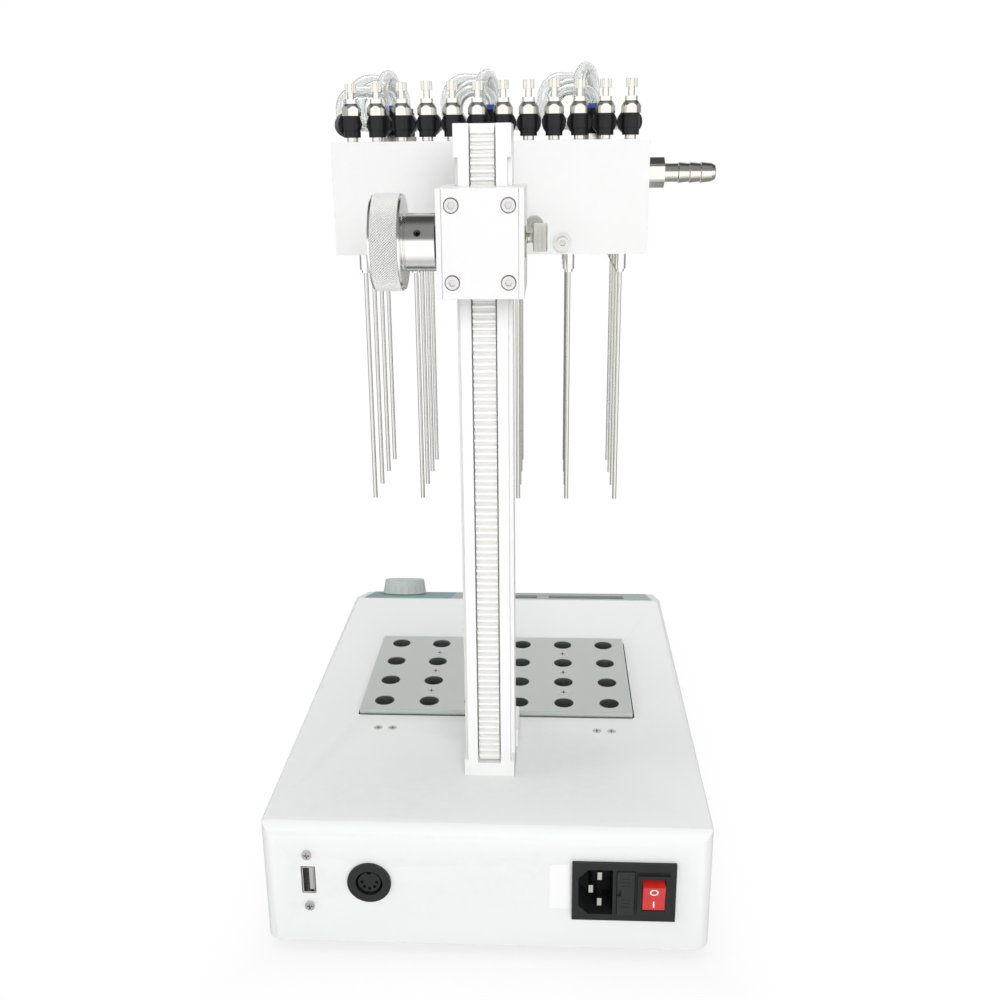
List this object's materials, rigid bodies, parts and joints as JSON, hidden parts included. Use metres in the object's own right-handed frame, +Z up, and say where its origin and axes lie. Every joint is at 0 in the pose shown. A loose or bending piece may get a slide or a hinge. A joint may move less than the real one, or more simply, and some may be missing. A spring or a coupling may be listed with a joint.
{
  "type": "nitrogen sample evaporator",
  "caption": "Bench evaporator: heated twin aluminium block with sample holes, and a needle gas chamber that a handwheel raises and lowers on a toothed post.",
  "frame": {"origin": "On the plane the rubber feet stand on, under the middle of the grid of sample holes, which is also the middle of the rectangle of the four feet.", "axes": "+Z is up. -Y is the front with the control panel, +Y the rear with the post and sockets. +X is the operator's left when facing the rear panel, the handwheel's side."},
  "size_m": [0.2133, 0.3356, 0.4045],
  "materials": {
    "white_paint": "fine white powder coat",
    "white_alloy": "smooth white coat on aluminium",
    "dark_sheet": "black coated sheet",
    "foot_rubber": "soft black rubber",
    "screw_steel": "bright stainless steel",
    "dark_screw": "blackened steel",
    "overlay_film": "matt printed film in grey green and blue grey",
    "dark_window": "glossy dark window",
    "encoder_metal": "plain metal",
    "knob_plastic": "light grey moulded plastic",
    "block_alloy": "finely milled aluminium",
    "heater_alloy": "heater mat on aluminium",
    "tray_foam": "dark heat-proof insulation",
    "board_green": "circuit board with parts",
    "rack_metal": "machined steel teeth",
    "socket_metal": "bright plated sheet",
    "black_plastic": "black moulded plastic",
    "pin_metal": "nickel plated",
    "red_plastic": "glossy red plastic",
    "label_white": "plain white label",
    "bush_brass": "plain bearing metal",
    "shaft_steel": "turned steel",
    "wheel_steel": "polished and knurled",
    "nickel": "nickel plated brass",
    "ring_blue": "blue moulded plastic",
    "tube_clear": "clear plastic tube",
    "needle_steel": "bright stainless tube"
  },
  "bodies": {
    "base": {"housing_cover": "white_paint", "post": "white_paint", "post_foot": "white_paint", "base_plate": "dark_sheet", "rubber_feet": "foot_rubber", "foot_screws": "screw_steel", "block_screws": "screw_steel", "panel_screws": "screw_steel", "panel_overlay": "overlay_film", "display_windows": "dark_window", "knob_encoder": "encoder_metal", "block_left": "block_alloy", "block_right": "block_alloy", "heater_plate": "heater_alloy", "insulation_tray": "tray_foam", "circuit_board": "board_green", "gear_rack": "rack_metal", "usb_socket": "socket_metal", "din_socket": "black_plastic", "power_inlet": "black_plastic", "inlet_pins": "pin_metal", "rating_label": "label_white"},
    "carriage": {"carriage_body": "white_alloy", "carriage_cover": "white_alloy", "cover_screws": "screw_steel", "shaft_bushes": "bush_brass", "chamber_body": "white_alloy", "needle_plate": "white_alloy", "chamber_screws": "screw_steel", "chamber_washers": "screw_steel", "end_plug": "nickel", "hose_barb": "nickel", "valve_cores": "nickel", "valve_bodies": "black_plastic", "lock_rings": "nickel", "fitting_bases": "nickel", "fitting_bodies": "black_plastic", "release_rings": "ring_blue", "gas_tubes": "tube_clear", "needle_holders": "needle_steel", "needles": "needle_steel"},
    "wheel": {"pinion_shaft": "shaft_steel", "handwheel": "wheel_steel", "wheel_screw": "dark_screw"},
    "clamp": {"clamp_screw": "wheel_steel"},
    "dial": {"control_knob": "knob_plastic"},
    "drawer": {"fuse_drawer": "black_plastic"},
    "switch": {"power_rocker": "red_plastic"},
    "valve_01": {"valve_knob_01": "nickel"},
    "valve_02": {"valve_knob_02": "nickel"},
    "valve_03": {"valve_knob_03": "nickel"},
    "valve_04": {"valve_knob_04": "nickel"},
    "valve_05": {"valve_knob_05": "nickel"},
    "valve_06": {"valve_knob_06": "nickel"},
    "valve_07": {"valve_knob_07": "nickel"},
    "valve_08": {"valve_knob_08": "nickel"},
    "valve_09": {"valve_knob_09": "nickel"},
    "valve_10": {"valve_knob_10": "nickel"},
    "valve_11": {"valve_knob_11": "nickel"},
    "valve_12": {"valve_knob_12": "nickel"}
  },
  "joints": [
    {"name": "carriage_slide", "type": "slide", "parent": "base", "child": "carriage", "axis": [0, 0, 1], "range_m": [-0.15, 0.01]},
    {"name": "wheel_turn", "type": "hinge", "parent": "carriage", "child": "wheel", "pos_m": [0, 0.1167, 0.3273], "axis": [1, 0, 0], "range_deg": [-956, 65]},
    {"name": "clamp_turn", "type": "hinge", "parent": "carriage", "child": "clamp", "pos_m": [-0.018, 0.095, 0.3273], "axis": [1, 0, 0], "range_deg": [0, 720]},
    {"name": "dial_turn", "type": "hinge", "parent": "base", "child": "dial", "pos_m": [0.0758, -0.15404, 0.05564], "axis": [0, -0.309, 0.9511], "range_deg": [-135, 135]},
    {"name": "drawer_slide", "type": "slide", "parent": "base", "child": "drawer", "axis": [0, 1, 0], "range_m": [0, 0.015]},
    {"name": "switch_rock", "type": "hinge", "parent": "base", "child": "switch", "pos_m": [-0.07765, 0.1525, 0.0373], "axis": [1, 0, 0], "range_deg": [0, 14]},
    {"name": "valve_01_turn", "type": "hinge", "parent": "carriage", "child": "valve_01", "pos_m": [0.066, 0.038, 0.39], "axis": [0, 0, 1], "range_deg": [-720, 720]},
    {"name": "valve_02_turn", "type": "hinge", "parent": "carriage", "child": "valve_02", "pos_m": [0.054, 0.038, 0.39], "axis": [0, 0, 1], "range_deg": [-720, 720]},
    {"name": "valve_03_turn", "type": "hinge", "parent": "carriage", "child": "valve_03", "pos_m": [0.042, 0.038, 0.39], "axis": [0, 0, 1], "range_deg": [-720, 720]},
    {"name": "valve_04_turn", "type": "hinge", "parent": "carriage", "child": "valve_04", "pos_m": [0.03, 0.038, 0.39], "axis": [0, 0, 1], "range_deg": [-720, 720]},
    {"name": "valve_05_turn", "type": "hinge", "parent": "carriage", "child": "valve_05", "pos_m": [0.018, 0.038, 0.39], "axis": [0, 0, 1], "range_deg": [-720, 720]},
    {"name": "valve_06_turn", "type": "hinge", "parent": "carriage", "child": "valve_06", "pos_m": [0.006, 0.038, 0.39], "axis": [0, 0, 1], "range_deg": [-720, 720]},
    {"name": "valve_07_turn", "type": "hinge", "parent": "carriage", "child": "valve_07", "pos_m": [-0.006, 0.038, 0.39], "axis": [0, 0, 1], "range_deg": [-720, 720]},
    {"name": "valve_08_turn", "type": "hinge", "parent": "carriage", "child": "valve_08", "pos_m": [-0.018, 0.038, 0.39], "axis": [0, 0, 1], "range_deg": [-720, 720]},
    {"name": "valve_09_turn", "type": "hinge", "parent": "carriage", "child": "valve_09", "pos_m": [-0.03, 0.038, 0.39], "axis": [0, 0, 1], "range_deg": [-720, 720]},
    {"name": "valve_10_turn", "type": "hinge", "parent": "carriage", "child": "valve_10", "pos_m": [-0.042, 0.038, 0.39], "axis": [0, 0, 1], "range_deg": [-720, 720]},
    {"name": "valve_11_turn", "type": "hinge", "parent": "carriage", "child": "valve_11", "pos_m": [-0.054, 0.038, 0.39], "axis": [0, 0, 1], "range_deg": [-720, 720]},
    {"name": "valve_12_turn", "type": "hinge", "parent": "carriage", "child": "valve_12", "pos_m": [-0.066, 0.038, 0.39], "axis": [0, 0, 1], "range_deg": [-720, 720]}
  ],
  "couplings": [
    {"joint": "wheel_turn", "follows": "carriage_slide", "rad_per_m": 111.11}
  ]
}
